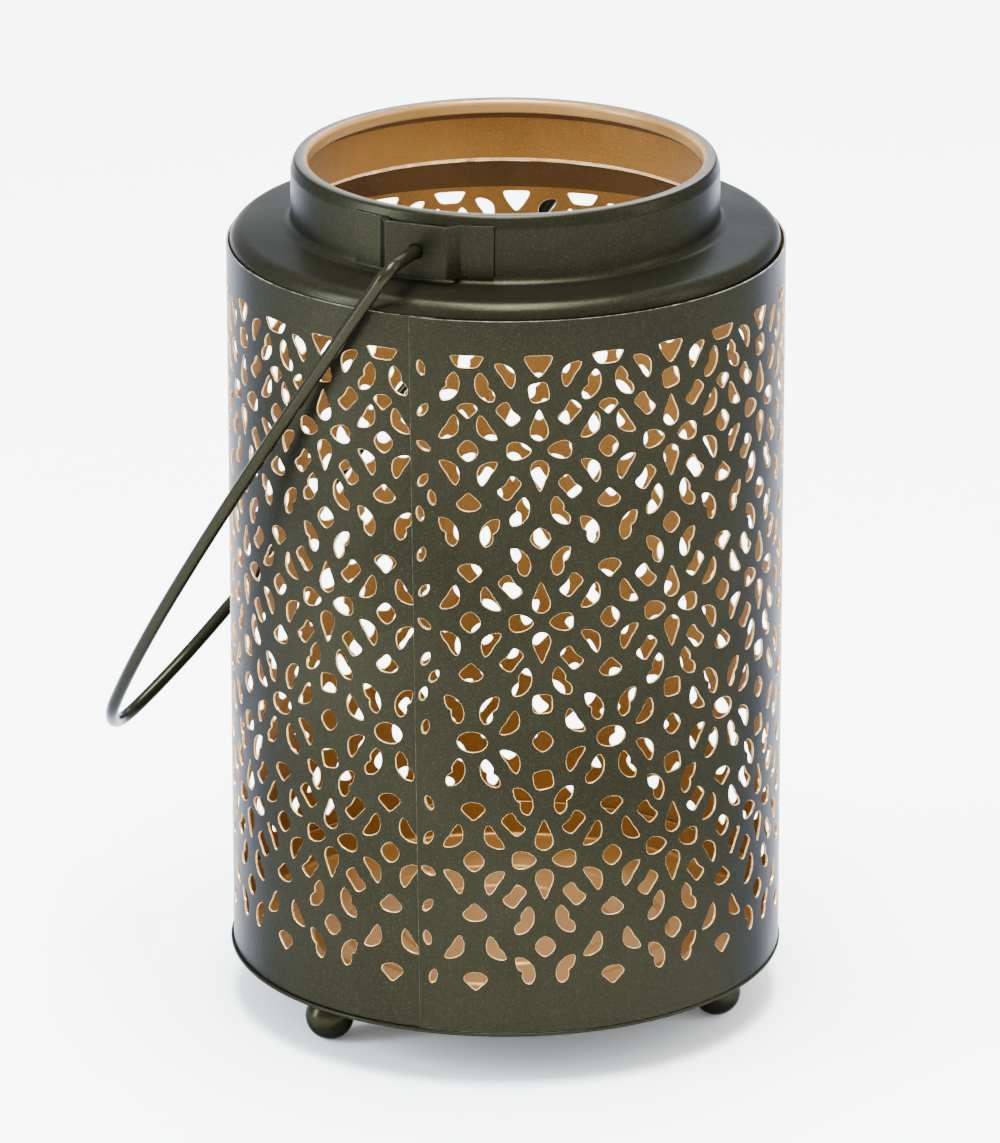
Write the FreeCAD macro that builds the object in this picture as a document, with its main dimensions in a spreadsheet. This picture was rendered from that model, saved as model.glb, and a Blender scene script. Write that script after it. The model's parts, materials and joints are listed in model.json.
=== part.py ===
import FreeCAD, Part
import math
import os

import Sketcher
from FreeCAD import Placement, Rotation, Vector

# Perforated tealight holder. Millimetres. Origin on the standing plane under the axis, +Z up,
# the pivot line of the bail handle along Y with the front bracket towards -Y.

doc = FreeCAD.newDocument("tealight_holder")
sheet = doc.addObject("Spreadsheet::Sheet", "sizes")

SIZES = [
    # perforated shell: one sheet rolled over its own end
    ("tube_radius", 55.0),
    ("tube_base", 11.9),
    ("tube_height", 145.3),
    ("sheet_thickness", 0.4),
    ("lap_gap", 0.15),
    ("seam_azimuth", 4.3),
    ("roll_angle", 365.3),
    ("pattern_azimuth", 29.4),
    ("pattern_pitch", 28.51),
    ("pattern_lean", 0.0126),
    # shoulder cap
    ("skirt_radius", 53.9),
    ("skirt_bottom", 151.5),
    ("shoulder_edge_height", 159.9),
    ("shoulder_neck_height", 160.7),
    ("shoulder_roll", 3.0),
    ("neck_radius", 41.9),
    ("neck_fillet", 1.2),
    ("neck_top", 171.6),
    ("rim_top", 173.9),
    ("rim_radius", 41.1),
    ("opening_radius", 38.5),
    ("rim_bottom", 171.1),
    ("rim_roll", 1.1),
    ("cap_wall", 0.5),
    # base pan
    ("pan_radius", 55.1),
    ("pan_flange_radius", 53.9),
    ("pan_flange_top", 18.9),
    ("pan_underside", 11.0),
    ("pan_lip_top", 11.8),
    ("pan_wall", 0.6),
    ("seat_radius", 36.0),
    ("seat_slope", 1.6),
    ("seat_rise", 1.2),
    # ball feet
    ("ball_radius", 4.85),
    ("foot_circle_radius", 45.0),
    ("first_foot_azimuth", -28.0),
    ("weld_radius", 2.0),
    # brackets
    ("strap_thickness", 0.8),
    ("strap_bottom", 162.0),
    ("strap_height", 10.2),
    ("flange_half_width", 14.3),
    ("flange_inner_half", 8.3),
    ("plate_half_width", 6.4),
    ("plate_face", 44.55),
    ("strap_bend", 0.55),
    ("pivot_hole_radius", 1.6),
    # bail handle
    ("pivot_height", 166.9),
    ("wire_radius", 1.3),
    ("hang_angle", 55.4),
    ("leg_spread", 57.2),
    ("stub_bend", 3.2),
    ("bail_reach", 147.7),
    ("head_radius", 2.2),
    ("head_thickness", 0.7),
    ("head_clearance", 0.25),
]
for row, (alias, value) in enumerate(SIZES, start=1):
    sheet.set("A%d" % row, alias)
    sheet.set("B%d" % row, str(value))
    sheet.setAlias("B%d" % row, alias)
doc.recompute()


def size(alias):
    return float(sheet.get(alias))


def origin_plane(body, role):
    """The body's own origin plane of that role."""
    return [feature for feature in body.Origin.OriginFeatures if feature.Role == role][0]


def new_sketch(body, label, role):
    sketch = body.newObject("Sketcher::SketchObject", label)
    sketch.AttachmentSupport = [(origin_plane(body, role), "")]
    sketch.MapMode = "FlatFace"
    return sketch


def bind(sketch, constraint, name, expression):
    """Add a named driving constraint and bind its value to the sheet."""
    index = sketch.addConstraint(constraint)
    sketch.renameConstraint(index, name)
    sketch.setExpression("Constraints.%s" % name, expression)


def value_of(expression):
    """Present value of an expression on the sheet's sizes."""
    return float(sheet.evalExpression(expression.replace("sizes.", "")))


def profile(sketch, corners, arcs=None):
    """Closed outline; each corner's two coordinates are sheet expressions.

    arcs gives, for the side that leaves a corner, the radius expression of an arc about the origin.
    """
    arcs = arcs or {}
    points = [Vector(value_of(x), value_of(y), 0) for x, y in corners]
    count = len(points)
    start_end = []
    for i in range(count):
        first, last = points[i], points[(i + 1) % count]
        if i in arcs:
            middle = (first + last) * 0.5
            middle = middle * (value_of(arcs[i]) / middle.Length)
            sketch.addGeometry(Part.Arc(first, middle, last))
            counterclockwise = first.cross(last).z > 0
            start_end.append((1, 2) if counterclockwise else (2, 1))
        else:
            sketch.addGeometry(Part.LineSegment(first, last))
            start_end.append((1, 2))
    for i in range(count):
        following = (i + 1) % count
        joint = Sketcher.Constraint("Coincident", i, start_end[i][1], following, start_end[following][0])
        sketch.addConstraint(joint)
    for i, (x, y) in enumerate(corners):
        start = start_end[i][0]
        across = Sketcher.Constraint("DistanceX", -1, 1, i, start, points[i].x)
        upward = Sketcher.Constraint("DistanceY", -1, 1, i, start, points[i].y)
        bind(sketch, across, "across%d" % i, x)
        bind(sketch, upward, "upward%d" % i, y)
    for i, radius in arcs.items():
        bind(sketch, Sketcher.Constraint("Radius", i, value_of(radius)), "radius%d" % i, radius)


def revolved_body(label, corners):
    """A body turned about Z from one closed outline in the XZ plane."""
    body = doc.addObject("PartDesign::Body", label)
    body.Label = label
    sketch = new_sketch(body, label + "_outline", "XZ_Plane")
    profile(sketch, corners)
    turn = body.newObject("PartDesign::Revolution", label + "_turn")
    turn.Profile = sketch
    turn.ReferenceAxis = (sketch, ["V_Axis"])
    turn.Angle = 360
    sketch.Visibility = False
    doc.recompute()
    return body, turn


def ring_edges(shape, rings, tolerance=0.05):
    """Names of the circular edges of given (radius, height)."""
    names = []
    for number, edge in enumerate(shape.Edges, start=1):
        curve = edge.Curve
        if not isinstance(curve, Part.Circle):
            continue
        for radius, height in rings:
            near = abs(curve.Radius - radius) < tolerance and abs(curve.Center.z - height) < tolerance
            if near:
                names.append("Edge%d" % number)
    return names


def round_rings(body, base, label, rings, alias):
    """Fillet the circular edges of the given radius and height with one sheet radius."""
    fillet = body.newObject("PartDesign::Fillet", label)
    fillet.Base = (base, ring_edges(base.Shape, rings))
    fillet.setExpression("Radius", alias)
    doc.recompute()
    return fillet


# ---------------------------------------------------------------- shoulder cap
cap, cap_turn = revolved_body("top_cap", [
    ("sizes.skirt_radius", "sizes.skirt_bottom"),
    ("sizes.skirt_radius", "sizes.shoulder_edge_height"),
    ("sizes.neck_radius", "sizes.shoulder_neck_height"),
    ("sizes.neck_radius", "sizes.neck_top"),
    ("sizes.rim_radius", "sizes.rim_top"),
    ("sizes.opening_radius", "sizes.rim_top"),
    ("sizes.opening_radius", "sizes.rim_bottom"),
    ("sizes.neck_radius - sizes.cap_wall", "sizes.rim_bottom"),
    ("sizes.neck_radius - sizes.cap_wall", "sizes.shoulder_neck_height - sizes.cap_wall"),
    ("sizes.skirt_radius - sizes.cap_wall", "sizes.shoulder_edge_height - sizes.cap_wall"),
    ("sizes.skirt_radius - sizes.cap_wall", "sizes.skirt_bottom"),
])
wall = size("cap_wall")
skirt, neck = size("skirt_radius"), size("neck_radius")
edge_z, neck_z = size("shoulder_edge_height"), size("shoulder_neck_height")
cap_round = round_rings(cap, cap_turn, "cap_roll_outside", [(skirt, edge_z)], "sizes.shoulder_roll")
cap_round = round_rings(cap, cap_round, "cap_roll_inside", [(skirt - wall, edge_z - wall)],
                        "sizes.shoulder_roll - sizes.cap_wall")
cap_round = round_rings(cap, cap_round, "cap_neck_outside", [(neck, neck_z)], "sizes.neck_fillet")
cap_round = round_rings(cap, cap_round, "cap_neck_inside", [(neck - wall, neck_z - wall)],
                        "sizes.neck_fillet + sizes.cap_wall")
cap_round = round_rings(cap, cap_round, "cap_rim_roll",
                        [(size("rim_radius"), size("rim_top")), (size("opening_radius"), size("rim_top"))],
                        "sizes.rim_roll")

# ---------------------------------------------------------------- base pan
ON_AXIS = "sizes.seat_radius - sizes.seat_radius"
pan, pan_turn = revolved_body("base_pan", [
    (ON_AXIS, "sizes.pan_underside + sizes.seat_rise"),
    ("sizes.seat_radius", "sizes.pan_underside + sizes.seat_rise"),
    ("sizes.seat_radius + sizes.seat_slope", "sizes.pan_underside"),
    ("sizes.pan_radius", "sizes.pan_underside"),
    ("sizes.pan_radius", "sizes.pan_lip_top"),
    ("sizes.pan_flange_radius", "sizes.pan_lip_top"),
    ("sizes.pan_flange_radius", "sizes.pan_flange_top"),
    ("sizes.pan_flange_radius - sizes.pan_wall", "sizes.pan_flange_top"),
    ("sizes.pan_flange_radius - sizes.pan_wall", "sizes.pan_underside + sizes.pan_wall"),
    ("sizes.seat_radius + sizes.seat_slope + sizes.pan_wall", "sizes.pan_underside + sizes.pan_wall"),
    ("sizes.seat_radius + sizes.pan_wall", "sizes.pan_underside + sizes.seat_rise + sizes.pan_wall"),
    (ON_AXIS, "sizes.pan_underside + sizes.seat_rise + sizes.pan_wall"),
])

# ---------------------------------------------------------------- ball feet
FEET = ("foot_left", "foot_right", "foot_back")
feet = []
for index, label in enumerate(FEET):
    turned = "(sizes.first_foot_azimuth + %d) * 1 deg" % (120 * index)
    spot_x = "sizes.foot_circle_radius * sin(%s)" % turned
    spot_y = "-sizes.foot_circle_radius * cos(%s)" % turned
    ball = doc.addObject("Part::Sphere", label + "_ball")
    ball.setExpression("Radius", "sizes.ball_radius")
    ball.setExpression(".Placement.Base.z", "sizes.ball_radius")
    weld = doc.addObject("Part::Cylinder", label + "_weld")
    weld.setExpression("Radius", "sizes.weld_radius")
    weld.setExpression("Height", "sizes.pan_underside - sizes.ball_radius")
    weld.setExpression(".Placement.Base.z", "sizes.ball_radius")
    for solid in (ball, weld):
        solid.setExpression(".Placement.Base.x", spot_x)
        solid.setExpression(".Placement.Base.y", spot_y)
    foot = doc.addObject("Part::Fuse", label)
    foot.Base = ball
    foot.Tool = weld
    foot.Label = label
    feet.append(foot)


# ---------------------------------------------------------------- handle brackets
# Hat section seen from above, front towards -Y: curved flanges on the neck, a flat raised plate.
INSIDE = "sizes.neck_radius"
OUTSIDE = "(sizes.neck_radius + sizes.strap_thickness)"
PLATE_BACK = "sizes.plate_face - sizes.strap_thickness"


def on_ring(radius, x):
    """Corner on a circle about the axis, at a given distance to one side."""
    return (x, "-sqrt(%s ^ 2 - (%s) ^ 2)" % (radius, x))


def mirrored(corner):
    return ("-(%s)" % corner[0], corner[1])


RIGHT_OUTSIDE = [
    ("sizes.plate_half_width", "-sizes.plate_face"),
    on_ring(OUTSIDE, "sizes.flange_inner_half"),
    on_ring(OUTSIDE, "sizes.flange_half_width"),
]
RIGHT_INSIDE = [
    on_ring(INSIDE, "sizes.flange_half_width"),
    on_ring(INSIDE, "sizes.flange_inner_half - sizes.strap_thickness"),
    ("sizes.plate_half_width - sizes.strap_thickness", "-(%s)" % PLATE_BACK),
]
STRAP = RIGHT_OUTSIDE + RIGHT_INSIDE
STRAP += [mirrored(corner) for corner in reversed(RIGHT_OUTSIDE + RIGHT_INSIDE)]
STRAP_ARCS = {1: OUTSIDE, 3: INSIDE, 7: INSIDE, 9: OUTSIDE}


def bend_edges(shape):
    """Names of the upright edges at the strap's bends, which lie between its two ends."""
    bends_within = (size("flange_inner_half") + size("flange_half_width")) / 2
    names = []
    for number, edge in enumerate(shape.Edges, start=1):
        box = edge.BoundBox
        upright = box.XLength < 0.01 and box.YLength < 0.01
        if upright and abs(box.XMin) < bends_within:
            names.append("Edge%d" % number)
    return names


def bracket(label, half_turn):
    body = doc.addObject("PartDesign::Body", label)
    body.Label = label
    section = new_sketch(body, label + "_section", "XY_Plane")
    profile(section, STRAP, STRAP_ARCS)
    strap = body.newObject("PartDesign::Pad", label + "_strap")
    strap.Profile = section
    strap.setExpression("Length", "sizes.strap_height")
    drilling = new_sketch(body, label + "_drilling", "XZ_Plane")
    drilling.addGeometry(Part.Circle(Vector(0, 5, 0), Vector(0, 0, 1), 1.0))
    drilling.addConstraint(Sketcher.Constraint("PointOnObject", 0, 3, -2))
    bind(drilling, Sketcher.Constraint("DistanceY", -1, 1, 0, 3, 5.0), "rise",
         "sizes.pivot_height - sizes.strap_bottom")
    bind(drilling, Sketcher.Constraint("Radius", 0, 1.0), "bore", "sizes.pivot_hole_radius")
    drill = body.newObject("PartDesign::Pocket", label + "_pivot_hole")
    drill.Profile = drilling
    drill.Type = "ThroughAll"
    drill.Midplane = True
    for sketch in (section, drilling):
        sketch.Visibility = False
    bends = body.newObject("PartDesign::Fillet", label + "_bends")
    doc.recompute()
    bends.Base = (drill, bend_edges(drill.Shape))
    bends.setExpression("Radius", "sizes.strap_bend")
    body.setExpression(".Placement.Base.z", "sizes.strap_bottom")
    body.setExpression(".Placement.Rotation.Angle", "%d deg" % half_turn)
    return body


front_bracket = bracket("front_bracket", 0)
rear_bracket = bracket("rear_bracket", 180)
doc.recompute()

# ---------------------------------------------------------------- bail handle
# One wire in the plane through the pivot line: short stubs through both plates, legs that draw in
# slightly, and a long rounded tip. Distances along the leg start at the pivot line.
LEG_FLARE = 0.03
LEG = [(22.0, 55.6), (50.0, 52.2), (77.0, 46.4), (104.0, 37.4), (126.0, 26.2), (140.0, 15.2)]


def build_handle():
    wire_radius = size("wire_radius")
    spread = size("leg_spread")
    bend = size("stub_bend")
    reach = size("bail_reach")
    head_outer = size("plate_face") - size("strap_thickness") - size("head_clearance")
    head_inner = head_outer - size("head_thickness")

    def place(along, across):
        return Vector(-along, across, 0)

    half = [place(bend, -spread)] + [place(along, -across) for along, across in LEG]
    points = half + [place(reach, 0)] + [Vector(p.x, -p.y, 0) for p in reversed(half)]
    loop = Part.BSplineCurve()
    leaving, returning = Vector(-1, LEG_FLARE, 0), Vector(1, LEG_FLARE, 0)
    loop.interpolate(Points=points, InitialTangent=leaving, FinalTangent=returning)
    pieces = []
    for side in (-1, 1):
        stub = Part.LineSegment(place(0, side * head_inner), place(0, side * (spread - bend)))
        corner = bend * (1 - math.sqrt(0.5))
        turn = Part.Arc(place(0, side * (spread - bend)), place(corner, side * (spread - corner)),
                        place(bend, side * spread))
        pieces.append((stub, turn))
    spine = Part.Wire([pieces[0][0].toShape(), pieces[0][1].toShape(), loop.toShape(),
                       pieces[1][1].toShape(), pieces[1][0].toShape()])
    start = place(0, -head_inner)
    ring = Part.Wire([Part.Circle(start, Vector(0, 1, 0), wire_radius).toShape()])
    handle = spine.makePipeShell([ring], True, False)
    for side in (-1, 1):
        base = place(0, side * head_inner)
        head = Part.makeCylinder(size("head_radius"), size("head_thickness"), base, Vector(0, side, 0))
        handle = handle.fuse(head)
    return handle.removeSplitter().Solids[0]


handle = doc.addObject("Part::Feature", "handle")
handle.Label = "handle"
handle.Shape = build_handle()
handle.Placement = Placement(Vector(0, 0, size("pivot_height")),
                             Rotation(Vector(0, 1, 0), -size("hang_angle")))

# ---------------------------------------------------------------- perforated shell
# Cut-out outlines around their own middle, x to the right and z up, convex side towards -x.
BEAN = [(0.5, 3.1), (-0.9, 2.2), (-1.65, 0.1), (-1.1, -2.0), (0.3, -3.05),
        (1.15, -2.2), (1.15, -1.1), (0.7, -0.1), (1.15, 0.8), (1.05, 2.0)]
CRESCENT = [(0.7, 2.8), (-0.7, 1.9), (-1.55, 0.0), (-0.7, -1.9),
            (0.7, -2.8), (1.05, -1.5), (0.95, 0.0), (1.05, 1.5)]
DIAMOND = [(0.0, 2.1), (1.3, 1.3), (1.95, 0.0), (1.3, -1.3),
           (0.0, -2.1), (-1.3, -1.3), (-1.95, 0.0), (-1.3, 1.3)]
FAN = [(0.0, -1.9), (1.1, -1.05), (2.3, 0.3), (1.55, 1.4),
       (0.0, 1.75), (-1.55, 1.4), (-2.3, 0.3), (-1.1, -1.05)]
BAR = [(-2.9, 1.1), (0.0, 1.2), (2.9, 1.1), (2.9, 0.4),
       (1.9, -1.0), (0.0, -1.2), (-1.9, -1.0), (-2.9, 0.4)]
WEDGE = [(-2.4, 2.0), (0.0, 2.1), (2.4, 2.0), (2.5, 1.1),
         (1.3, -0.9), (0.0, -2.1), (-1.3, -0.9), (-2.5, 1.1)]
SQUARE = [(-1.6, 1.6), (0.0, 1.9), (1.6, 1.6), (1.9, 0.0),
          (1.6, -1.6), (0.0, -1.9), (-1.6, -1.6), (-1.9, 0.0)]
OVAL = [(0.0, 2.1), (2.1, 1.5), (2.95, 0.0), (2.1, -1.5),
        (0.0, -2.1), (-2.1, -1.5), (-2.95, 0.0), (-2.1, 1.5)]
DROP = [(0.0, 3.1), (0.9, 1.3), (1.7, -0.8), (1.4, -2.4),
        (0.0, -3.1), (-1.4, -2.4), (-1.7, -0.8), (-0.9, 1.3)]
PEBBLE = [(-2.3, 0.0), (-1.1, 1.3), (0.9, 1.8), (2.1, 1.2),
          (2.3, 0.0), (2.1, -1.2), (0.9, -1.8), (-1.1, -1.3)]
BLOCK = [(-2.35, 0.0), (-1.95, 1.2), (0.0, 1.0), (1.95, 1.3),
         (2.4, 0.0), (1.95, -1.4), (0.0, -1.4), (-1.95, -1.25)]

# Lean of a slanted cut-out, degrees from upright.
BEAN_LEAN = 25.0
CRESCENT_LEAN = 33.0
BLOCK_LEAN = 50.0

# Heights above the tube's lower edge. "upper" slants lean their tops to the middle of the column.
DIAMOND_COLUMN = {
    "single": [(BAR, 137.2), (DIAMOND, 119.4), (FAN, 94.9), (DIAMOND, 84.8),
               (OVAL, 60.3), (FAN, 46.1), (DIAMOND, 35.7), (FAN, 10.8)],
    "inverted": [(FAN, 109.0), (FAN, 74.5), (FAN, 25.0)],
    "small": [(FAN, 127.5)],
    "upper": [(BEAN, 132.0, 3.3), (CRESCENT, 123.8, 3.4), (CRESCENT, 89.4, 3.7), (BEAN, 53.8, 3.3),
              (CRESCENT, 40.5, 3.75), (CRESCENT, 17.4, 3.85)],
    "lower": [(CRESCENT, 115.2, 3.4), (BEAN, 103.1, 3.95), (CRESCENT, 80.6, 3.7), (BEAN, 67.0, 3.4),
              (CRESCENT, 31.6, 3.75)],
    "tilted": [],
}
STAR_COLUMN = {
    "single": [(WEDGE, 136.3), (DIAMOND, 101.8), (SQUARE, 68.1), (DIAMOND, 60.4), (DIAMOND, 17.9)],
    "inverted": [],
    "small": [],
    "upper": [(BEAN, 107.1, 3.85), (BEAN, 72.5, 3.85), (CRESCENT, 64.1, 6.15), (BEAN, 23.3, 3.95)],
    "lower": [(CRESCENT, 134.8, 6.15), (BEAN, 97.2, 3.85), (CRESCENT, 56.7, 6.15), (BEAN, 48.3, 3.95),
              (BEAN, 13.1, 3.95)],
    "tilted": [(SQUARE, 131.1), (SQUARE, 52.5)],
}
STARS = [119.5, 84.7, 36.0]
SMALL = 0.82
TILT = 10.0
DROP_OFFSET = 5.06
PEBBLE_OFFSET = 3.9
BLOCK_OFFSET = (5.85, 7.4)
FIRST_PERIOD, LAST_PERIOD = -1, 12
EDGE_MARGIN = 0.5
SPIRAL_STEPS = 96


def turned(outline, angle):
    c, s = math.cos(math.radians(angle)), math.sin(math.radians(angle))
    return [(c * x - s * z, s * x + c * z) for x, z in outline]


def shifted(outline, x, z):
    return [(a + x, b + z) for a, b in outline]


def flipped(outline):
    return [(-x, z) for x, z in reversed(outline)]


def pair(outline, lean, across, height):
    """A slanted cut-out to the right of the column and its mirror image to the left."""
    right = shifted(turned(outline, lean), across, 0.0)
    return [shifted(right, 0.0, height), shifted(flipped(right), 0.0, height)]


def column(rows):
    """All the outlines of one column, x from the column's middle and z above the tube's edge."""
    outlines = []
    for outline, height in rows["single"]:
        outlines.append(shifted(outline, 0.0, height))
    for outline, height in rows["inverted"]:
        outlines.append(shifted(turned(outline, 180.0), 0.0, height))
    for outline, height in rows["small"]:
        outlines.append(shifted([(SMALL * x, SMALL * z) for x, z in outline], 0.0, height))
    for outline, height in rows["tilted"]:
        outlines.append(shifted(turned(outline, TILT), 0.0, height))
    for rank, sign in (("upper", 1.0), ("lower", -1.0)):
        for outline, height, across in rows[rank]:
            lean = BEAN_LEAN if outline is BEAN else CRESCENT_LEAN
            outlines += pair(outline, sign * lean, across, height)
    return outlines


def star(height):
    """Two drops, two pebbles and four blocks round an uncut middle."""
    outlines = [
        shifted(DROP, 0.0, height + DROP_OFFSET),
        shifted(turned(DROP, 180.0), 0.0, height - DROP_OFFSET),
    ]
    outlines += pair(PEBBLE, 0.0, PEBBLE_OFFSET, height)
    across, up = BLOCK_OFFSET
    outlines += pair(BLOCK, BLOCK_LEAN, across, height + up)
    outlines += pair(BLOCK, -BLOCK_LEAN, across, height - up)
    return outlines


def cut_outs():
    """Outlines as (azimuth in radians, height) points for every hole clear of the sheet's ends."""
    star_column = column(STAR_COLUMN)
    for height in STARS:
        star_column += star(height)
    diamond_column = column(DIAMOND_COLUMN)
    radius = size("tube_radius")
    pitch = math.radians(size("pattern_pitch"))
    middle = math.radians(size("pattern_azimuth"))
    first = math.radians(size("seam_azimuth")) + EDGE_MARGIN / radius
    last = math.radians(size("seam_azimuth") + size("roll_angle")) - EDGE_MARGIN / radius
    lean = size("pattern_lean")
    found = []
    for period in range(FIRST_PERIOD, LAST_PERIOD + 1):
        for outlines, offset in ((star_column, 0.0), (diamond_column, -0.5)):
            azimuth = middle + (period + offset) * pitch
            for outline in outlines:
                loop = [(azimuth + (x + lean * (STARS[0] - z)) / radius, z) for x, z in outline]
                angles = [angle for angle, z in loop]
                if min(angles) > first and max(angles) < last:
                    found.append(loop)
    return found


def build_shell():
    """One rolled sheet: two spiral faces, the cut-out walls between them and the four edges."""
    radius = size("tube_radius")
    thickness = size("sheet_thickness")
    climb = (thickness + size("lap_gap")) / (2 * math.pi)
    begin = math.radians(size("seam_azimuth"))
    end = begin + math.radians(size("roll_angle"))
    height = size("tube_height")
    angles = [begin + (end - begin) * i / SPIRAL_STEPS for i in range(SPIRAL_STEPS + 1)]

    def spiral_face_surface(depth):
        points = []
        for angle in angles:
            r = radius - depth - climb * (angle - begin)
            points.append(Vector(r * math.sin(angle), -r * math.cos(angle), 0))
        curve = Part.BSplineCurve()
        curve.interpolate(Points=points, Parameters=angles)
        return Part.SurfaceOfExtrusion(curve, Vector(0, 0, 1))

    def border(surface):
        corners = [(begin, 0.0), (end, 0.0), (end, height), (begin, height)]
        edges = []
        for i in range(4):
            a, b = corners[i], corners[(i + 1) % 4]
            line = Part.Geom2d.Line2dSegment(FreeCAD.Base.Vector2d(*a), FreeCAD.Base.Vector2d(*b))
            edges.append(line.toShape(surface))
        return edges

    def hole_edge(surface, loop):
        curve = Part.BSplineCurve()
        curve.interpolate(Points=[surface.value(angle, z) for angle, z in loop], PeriodicFlag=True)
        return curve.toShape()

    surfaces = [spiral_face_surface(0.0), spiral_face_surface(thickness)]
    loops = cut_outs()
    hole_edges = [[hole_edge(surface, loop) for loop in loops] for surface in surfaces]
    borders = [border(surface) for surface in surfaces]
    faces = []
    for surface, edges, holes in zip(surfaces, borders, hole_edges):
        face = Part.Face(surface, Part.Wire(edges))
        face.validate()
        face.cutHoles([Part.Wire([edge]) for edge in holes])
        face.validate()
        faces.append(face)
    for outside, inside in zip(hole_edges[0] + borders[0], hole_edges[1] + borders[1]):
        faces.append(Part.makeRuledSurface(outside, inside))
    skin = Part.Compound(faces)
    skin.sewShape()
    sheet_metal = Part.Solid(skin.Shells[0])
    if sheet_metal.Volume < 0:
        sheet_metal.reverse()
    return sheet_metal


shell = doc.addObject("Part::Feature", "perforated_shell")
shell.Label = "perforated_shell"
shell.Shape = build_shell()
shell.Placement = Placement(Vector(0, 0, size("tube_base")), Rotation())

# ---------------------------------------------------------------- checks and files
doc.recompute()
for item in doc.Objects:
    if "Invalid" in item.State or "Error" in item.State:
        raise RuntimeError("%s did not recompute: %s" % (item.Label, item.State))

os.makedirs("parts", exist_ok=True)
for node in [shell, cap, pan] + feet + [front_bracket, rear_bracket, handle]:
    shape = node.Shape
    if shape.isNull() or not shape.isValid() or len(shape.Solids) != 1:
        raise RuntimeError("%s has no valid single solid" % node.Label)
    box = shape.BoundBox
    print(node.Label, "volume %.1f" % shape.Volume, [round(v, 2) for v in (
        box.XMin, box.XMax, box.YMin, box.YMax, box.ZMin, box.ZMax)])
    shape.exportStep("parts/%s.step" % node.Label)
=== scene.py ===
import json
import math

import bpy
import numpy as np
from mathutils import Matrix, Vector
from mathutils.geometry import delaunay_2d_cdt


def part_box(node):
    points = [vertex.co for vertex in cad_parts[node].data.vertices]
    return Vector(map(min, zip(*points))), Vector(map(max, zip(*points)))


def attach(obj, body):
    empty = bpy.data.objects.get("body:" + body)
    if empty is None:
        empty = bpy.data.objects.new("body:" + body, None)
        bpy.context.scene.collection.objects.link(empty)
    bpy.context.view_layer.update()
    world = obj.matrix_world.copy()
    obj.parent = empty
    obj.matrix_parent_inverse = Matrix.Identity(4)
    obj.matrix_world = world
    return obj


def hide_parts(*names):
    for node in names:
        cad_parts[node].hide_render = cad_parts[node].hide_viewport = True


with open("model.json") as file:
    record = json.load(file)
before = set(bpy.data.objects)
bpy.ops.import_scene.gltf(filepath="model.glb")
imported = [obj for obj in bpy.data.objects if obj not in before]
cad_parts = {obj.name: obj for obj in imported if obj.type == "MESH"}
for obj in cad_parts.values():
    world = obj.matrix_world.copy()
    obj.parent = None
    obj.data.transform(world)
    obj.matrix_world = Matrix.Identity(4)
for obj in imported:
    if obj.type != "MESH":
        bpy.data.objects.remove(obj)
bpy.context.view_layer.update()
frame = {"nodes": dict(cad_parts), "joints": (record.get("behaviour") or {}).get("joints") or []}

MM = 0.001

# ------------------------------------------------------------------ places read from the frame
shell_low, shell_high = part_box("perforated_shell")
cap_low, cap_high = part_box("top_cap")
pan_low, pan_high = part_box("base_pan")
swing = frame["joints"][0]

PIVOT_Z = swing["pos_m"][2] / MM
TUBE_BASE = shell_low.z / MM
TUBE_HEIGHT = (shell_high.z - shell_low.z) / MM
CAP_TOP = cap_high.z / MM
CAP_BOTTOM = cap_low.z / MM
PAN_TOP = pan_high.z / MM
PAN_BOTTOM = pan_low.z / MM

# ------------------------------------------------------------------ sizes, millimetres
TUBE_RADIUS = 55.0
SHEET = 0.4
LAP_GAP = 0.15
SEAM_AZIMUTH = 3.4
ROLL_ANGLE = 365.3
PATTERN_AZIMUTH = 29.4
PATTERN_PITCH = 28.51
# Sideways run of the whole sheet per millimetre of height.
PATTERN_LEAN = 0.0126
# Reach of the softly broken edge round each cut-out.
BURR = 0.06
LAP_LENGTH = math.radians(ROLL_ANGLE - 360.0) * TUBE_RADIUS
SKIRT_RADIUS = 53.9
NECK_RADIUS = 41.9
RIM_RADIUS = 41.1
OPENING_RADIUS = 38.5
CAP_WALL = 0.5
PAN_RADIUS = 55.1
PAN_FLANGE_RADIUS = 53.9
PAN_WALL = 0.6
SEAT_RADIUS = 36.0
BALL_RADIUS = 4.85
FOOT_CIRCLE = 45.0
FIRST_FOOT_AZIMUTH = -28.0
WIRE_RADIUS = 1.3
HANG_ANGLE = 55.4
LEG_SPREAD = 57.2
STUB_BEND = 3.2
BAIL_REACH = 147.7
HEAD_RADIUS = 2.2
HEAD_INNER = 42.8
HEAD_OUTER = 43.5
STUB_END = 48.0


# ------------------------------------------------------------------ mesh helpers
def add_object(name, vertices, faces, body, materials, face_slots=None, normals=None):
    """A mesh object from millimetre points, riding on a CAD body."""
    mesh = bpy.data.meshes.new(name)
    mesh.from_pydata([tuple(c * MM for c in v) for v in vertices], [], faces)
    for material in materials:
        mesh.materials.append(material)
    if face_slots is not None:
        mesh.polygons.foreach_set("material_index", face_slots)
    mesh.shade_smooth()
    mesh.update()
    if normals is not None:
        mesh.normals_split_custom_set_from_vertices([tuple(n) for n in normals])
    piece = bpy.data.objects.new(name, mesh)
    bpy.context.scene.collection.objects.link(piece)
    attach(piece, body)
    return piece


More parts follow.
